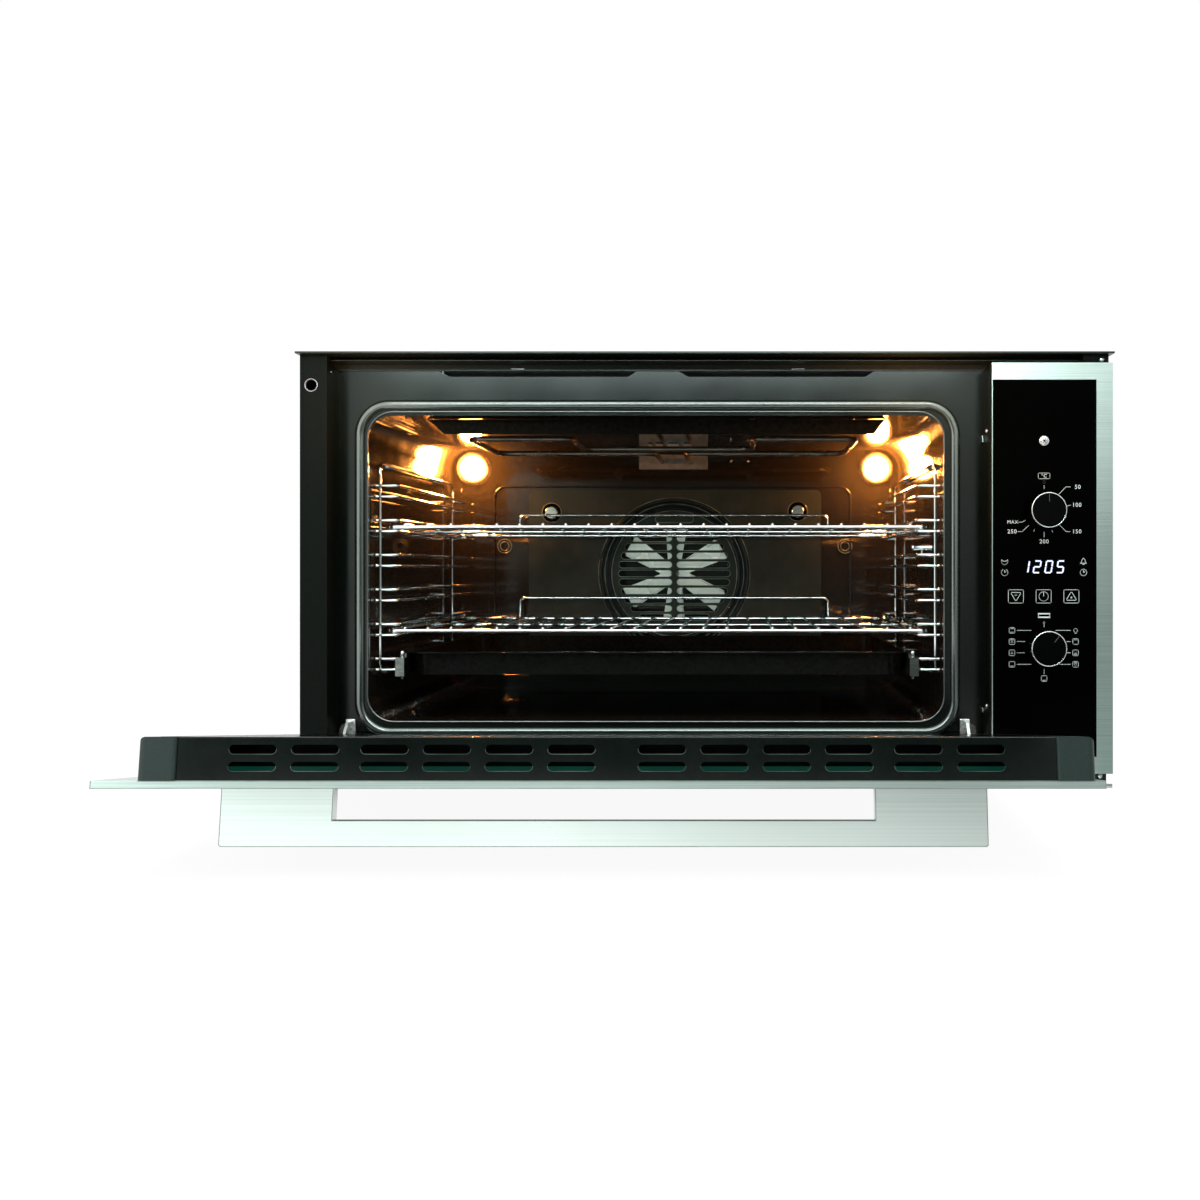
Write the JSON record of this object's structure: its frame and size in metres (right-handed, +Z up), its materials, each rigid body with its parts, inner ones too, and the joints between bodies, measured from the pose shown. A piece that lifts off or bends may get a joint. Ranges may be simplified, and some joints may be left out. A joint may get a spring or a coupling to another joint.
{
  "type": "wall oven",
  "caption": "Built-in wide wall oven: drop-down glass door with flat bar handle, wire shelves and tray on side ladders, convection fan, lamps, and a right-hand control panel with knobs.",
  "frame": {"origin": "underside of the base, in the middle of the width, in the plane where the front flanges sit on the cabinet", "axes": "+Z up, +Y into the cabinet, +X to the right as seen from the front"},
  "size_m": [0.9, 0.9985, 0.48],
  "materials": {
    "galvanised": "galvanised sheet",
    "dark_paint": "satin black paint",
    "trim_paint": "satin black paint",
    "front_enamel": "gloss enamel",
    "seal_rubber": "silicone",
    "cavity_enamel": "gloss enamel",
    "wool": "mineral wool",
    "zinc_steel": "zinc plated",
    "element_metal": "heat-darkened alloy",
    "motor_steel": "zinc plated",
    "lamp_glass": "clear moulded glass",
    "lamp_ceramic": "matt",
    "bright_wire": "chrome plated wire",
    "rail_steel": "satin",
    "brushed_front": "brushed stainless steel",
    "panel_glass": "black printed glass",
    "board_plastic": "black",
    "switch_plastic": "natural polyamide",
    "door_glass": "dark printed glass",
    "dark_plastic": "satin dark grey",
    "clear_glass": "clear toughened glass",
    "handle_steel": "brushed stainless steel",
    "knob_plastic": "gloss black",
    "fan_aluminium": "pressed aluminium"
  },
  "bodies": {
    "chassis": {"base_panel": "galvanised", "side_panels": "galvanised", "rear_panel": "galvanised", "top_cover": "galvanised", "mounting_flanges": "dark_paint", "control_box_wall": "dark_paint", "top_trim": "trim_paint", "cavity_front_frame": "front_enamel", "door_seal": "seal_rubber", "cavity_liner": "cavity_enamel", "cavity_rear_wall": "cavity_enamel", "cavity_supports": "galvanised", "insulation_blanket": "wool", "fan_guard_panel": "cavity_enamel", "guard_screws": "zinc_steel", "fan_pan": "galvanised", "convection_heater": "element_metal", "fan_motor": "motor_steel", "grill_element": "element_metal", "grill_bracket": "zinc_steel", "ceiling_baffle": "cavity_enamel", "bottom_element": "element_metal", "lamp_lenses": "lamp_glass", "lamp_holders": "lamp_ceramic", "rack_ladders": "bright_wire", "runner_rails_fixed": "rail_steel", "hinge_arms": "zinc_steel", "hinge_receivers": "galvanised", "control_panel_frame": "brushed_front", "control_glass": "panel_glass", "control_carrier": "galvanised", "clock_module": "board_plastic", "thermostat_body": "switch_plastic", "selector_switch": "switch_plastic", "cooling_fan_housing": "galvanised", "cooling_fan_motor": "motor_steel", "air_duct": "galvanised", "terminal_block": "switch_plastic", "cable_gland": "board_plastic"},
    "door": {"door_outer_frame": "brushed_front", "door_outer_glass": "door_glass", "door_inner_frame": "dark_paint", "door_vent_cover": "front_enamel", "door_corner_caps": "dark_plastic", "door_middle_glass": "clear_glass", "door_inner_glass": "clear_glass", "door_handle": "handle_steel", "handle_screws": "zinc_steel", "hinge_pins": "zinc_steel"},
    "thermostat_knob": {"thermostat_knob_cap": "knob_plastic", "thermostat_spindle": "zinc_steel"},
    "selector_knob": {"selector_knob_cap": "knob_plastic", "selector_spindle": "zinc_steel"},
    "convection_fan": {"fan_impeller": "fan_aluminium", "fan_shaft": "zinc_steel"},
    "cooling_blower_rotor": {"cooling_rotor": "motor_steel"},
    "upper_shelf": {"wire_shelf_upper": "bright_wire"},
    "lower_shelf": {"wire_shelf_lower": "bright_wire"},
    "tray": {"baking_tray": "cavity_enamel", "runner_slides": "rail_steel"}
  },
  "joints": [
    {"name": "door_hinge", "type": "hinge", "parent": "chassis", "child": "door", "pos_m": [0, -0.014, 0.035], "axis": [1, 0, 0], "range_deg": [-82.4, 0]},
    {"name": "thermostat_turn", "type": "hinge", "parent": "chassis", "child": "thermostat_knob", "pos_m": [0.373, -0.04, 0.305], "axis": [0, 1, 0], "range_deg": [0, 300]},
    {"name": "selector_turn", "type": "hinge", "parent": "chassis", "child": "selector_knob", "pos_m": [0.373, -0.04, 0.1547], "axis": [0, 1, 0], "continuous": true},
    {"name": "convection_fan_spin", "type": "hinge", "parent": "chassis", "child": "convection_fan", "pos_m": [-0.0565, 0.43, 0.235], "axis": [0, 1, 0], "continuous": true},
    {"name": "cooling_blower_spin", "type": "hinge", "parent": "chassis", "child": "cooling_blower_rotor", "pos_m": [0.35, 0.33, 0.33], "axis": [1, 0, 0], "continuous": true},
    {"name": "upper_shelf_slide", "type": "slide", "parent": "chassis", "child": "upper_shelf", "axis": [0, -1, 0], "range_m": [0, 0.2]},
    {"name": "lower_shelf_slide", "type": "slide", "parent": "chassis", "child": "lower_shelf", "axis": [0, -1, 0], "range_m": [0, 0.2]},
    {"name": "tray_slide", "type": "slide", "parent": "chassis", "child": "tray", "axis": [0, -1, 0], "range_m": [0, 0.25]}
  ]
}
